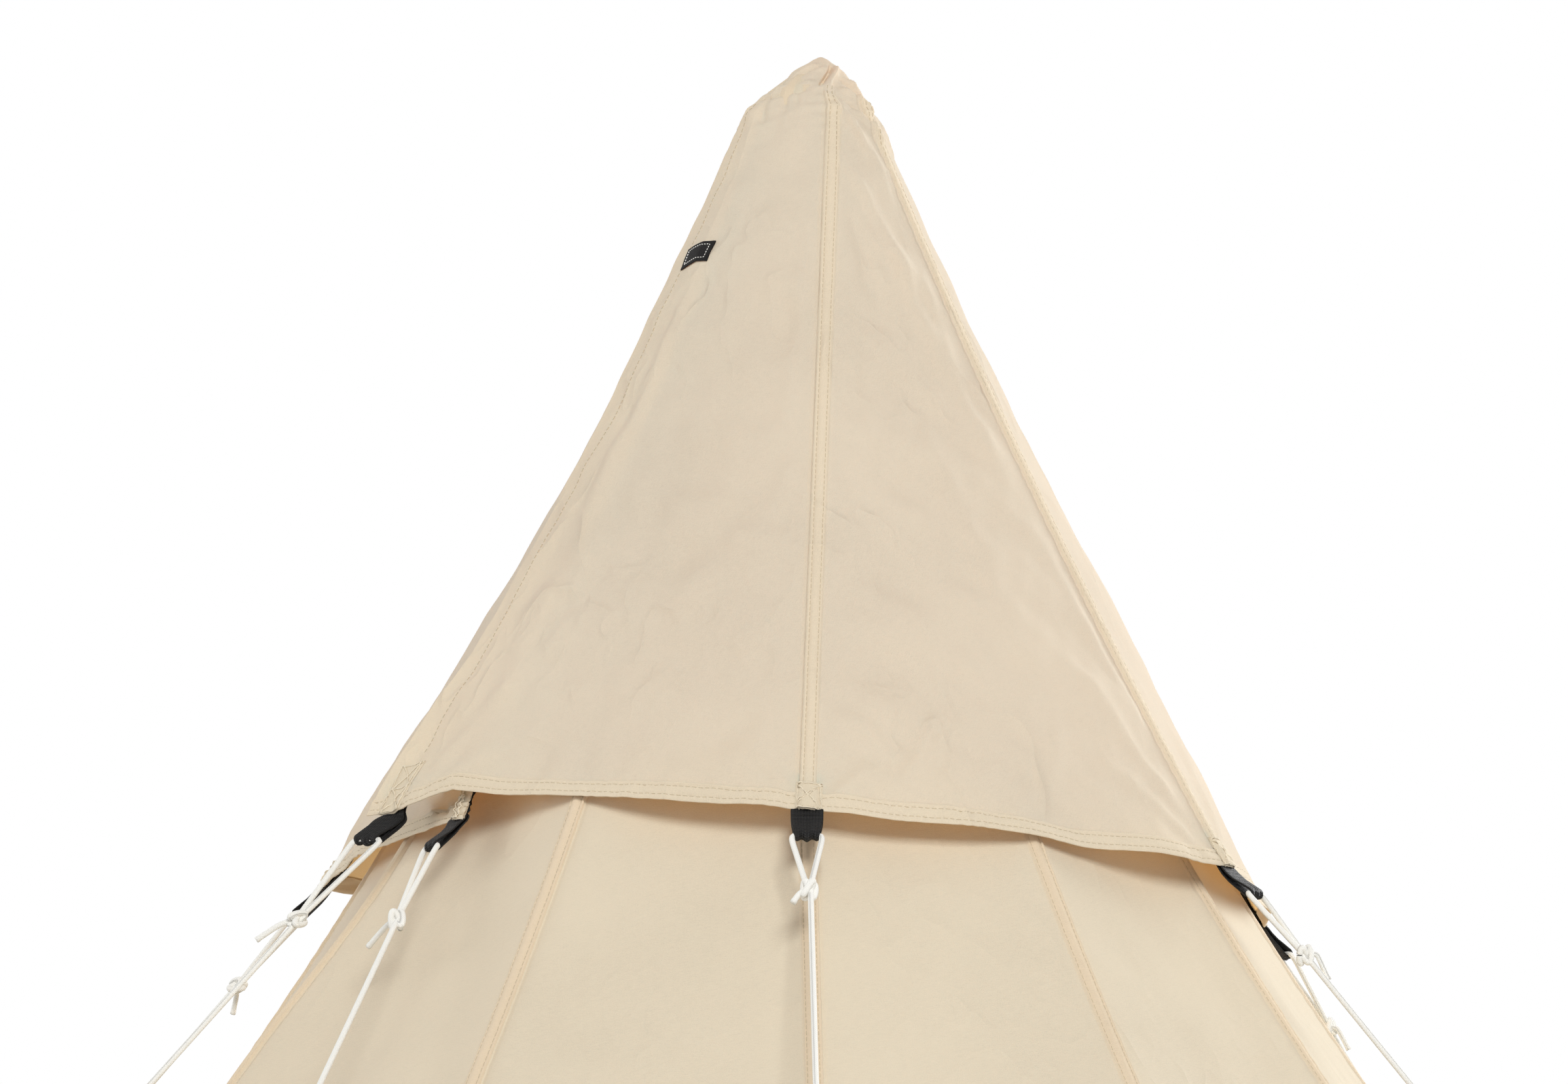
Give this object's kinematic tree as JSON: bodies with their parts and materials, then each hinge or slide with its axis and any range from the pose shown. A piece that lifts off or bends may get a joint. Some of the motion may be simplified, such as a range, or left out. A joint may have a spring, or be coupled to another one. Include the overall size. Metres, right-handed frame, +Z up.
{
  "type": "teepee tent",
  "caption": "Cone canvas tent on a centre pole, with a separate guyed rain cap over the peak, a zipped door, pegged base webbing, guy lines with runners and a groundsheet.",
  "frame": {"origin": "on the ground at the foot of the centre pole, on the underside of the groundsheet", "axes": "+Z up the pole, -Y to the front where the rain cap overlaps at the left, +X to the side with the door"},
  "size_m": [3.8105, 4.0706, 2.6565],
  "materials": {
    "canvas": "matte polycotton canvas",
    "cap_canvas": "matte polycotton canvas",
    "webbing": "woven black webbing",
    "label": "woven patch with a stitched border",
    "cord": "braided",
    "peg_steel": "galvanised",
    "pole_steel": "galvanised",
    "rubber": "matte",
    "wood": "oiled",
    "groundsheet": "coated",
    "zip_metal": "antique"
  },
  "bodies": {
    "tent": {"wall_front": "canvas", "wall_door_side": "canvas", "wall_rear": "canvas", "wall_left": "canvas", "rain_cap_front": "cap_canvas", "rain_cap_rear": "cap_canvas", "base_webbing": "webbing", "webbing_loop_front": "webbing", "webbing_loop_right": "webbing", "webbing_loop_right_rear": "webbing", "webbing_loop_rear": "webbing", "webbing_loop_left_rear": "webbing", "webbing_loop_left_inner": "webbing", "webbing_loop_left_outer": "webbing", "cap_label": "label", "guy_line_front": "cord", "guy_line_right": "cord", "guy_line_right_rear": "cord", "guy_line_rear": "cord", "guy_line_left_rear": "cord", "guy_line_left_inner": "cord", "guy_line_left_outer": "cord", "guy_peg_front": "peg_steel", "guy_peg_right": "peg_steel", "guy_peg_right_rear": "peg_steel", "guy_peg_rear": "peg_steel", "guy_peg_left_rear": "peg_steel", "guy_peg_left_inner": "peg_steel", "guy_peg_left_outer": "peg_steel", "base_peg_000": "peg_steel", "base_peg_030": "peg_steel", "base_peg_060": "peg_steel", "base_peg_090": "peg_steel", "base_peg_120": "peg_steel", "base_peg_150": "peg_steel", "base_peg_180": "peg_steel", "base_peg_210": "peg_steel", "base_peg_240": "peg_steel", "base_peg_270": "peg_steel", "base_peg_300": "peg_steel", "base_peg_330": "peg_steel", "pole_lower": "pole_steel", "pole_middle": "pole_steel", "pole_upper": "pole_steel", "pole_foot": "rubber", "pole_crown": "wood", "groundsheet": "groundsheet"},
    "door_flap_front": {"door_flap_front": "canvas"},
    "door_flap_rear": {"door_flap_rear": "canvas"},
    "zip_slider": {"zip_slider": "zip_metal"},
    "runner_front": {"runner_front": "wood"},
    "runner_right": {"runner_right": "wood"},
    "runner_right_rear": {"runner_right_rear": "wood"},
    "runner_rear": {"runner_rear": "wood"},
    "runner_left_rear": {"runner_left_rear": "wood"},
    "runner_left_inner": {"runner_left_inner": "wood"},
    "runner_left_outer": {"runner_left_outer": "wood"}
  },
  "joints": [
    {"name": "door_front_hinge", "type": "hinge", "parent": "tent", "child": "door_flap_front", "pos_m": [1.60945, -0.43125, 0], "axis": [0.5579, -0.2443, -0.7931], "range_deg": [0, 150]},
    {"name": "door_rear_hinge", "type": "hinge", "parent": "tent", "child": "door_flap_rear", "pos_m": [1.60945, 0.43125, 0], "axis": [-0.5579, -0.2443, 0.7931], "range_deg": [0, 150]},
    {"name": "zip_slide", "type": "slide", "parent": "door_flap_front", "child": "zip_slider", "axis": [-0.618, 0, 0.7862], "range_m": [0, 1.5]},
    {"name": "runner_slide_front", "type": "slide", "parent": "tent", "child": "runner_front", "axis": [-0.0207, 0.6732, 0.7391], "range_m": [-0.06, 0.18]},
    {"name": "runner_slide_right", "type": "slide", "parent": "tent", "child": "runner_right", "axis": [-0.5031, 0.4562, 0.734], "range_m": [-0.06, 0.18]},
    {"name": "runner_slide_right_rear", "type": "slide", "parent": "tent", "child": "runner_right_rear", "axis": [-0.5047, -0.4492, 0.7372], "range_m": [-0.06, 0.18]},
    {"name": "runner_slide_rear", "type": "slide", "parent": "tent", "child": "runner_rear", "axis": [0.0196, -0.6619, 0.7494], "range_m": [-0.06, 0.18]},
    {"name": "runner_slide_left_rear", "type": "slide", "parent": "tent", "child": "runner_left_rear", "axis": [0.6561, -0.0827, 0.7501], "range_m": [-0.06, 0.18]},
    {"name": "runner_slide_left_inner", "type": "slide", "parent": "tent", "child": "runner_left_inner", "axis": [0.2474, 0.6385, 0.7287], "range_m": [-0.06, 0.18]},
    {"name": "runner_slide_left_outer", "type": "slide", "parent": "tent", "child": "runner_left_outer", "axis": [0.5909, 0.3121, 0.7439], "range_m": [-0.06, 0.18]}
  ]
}
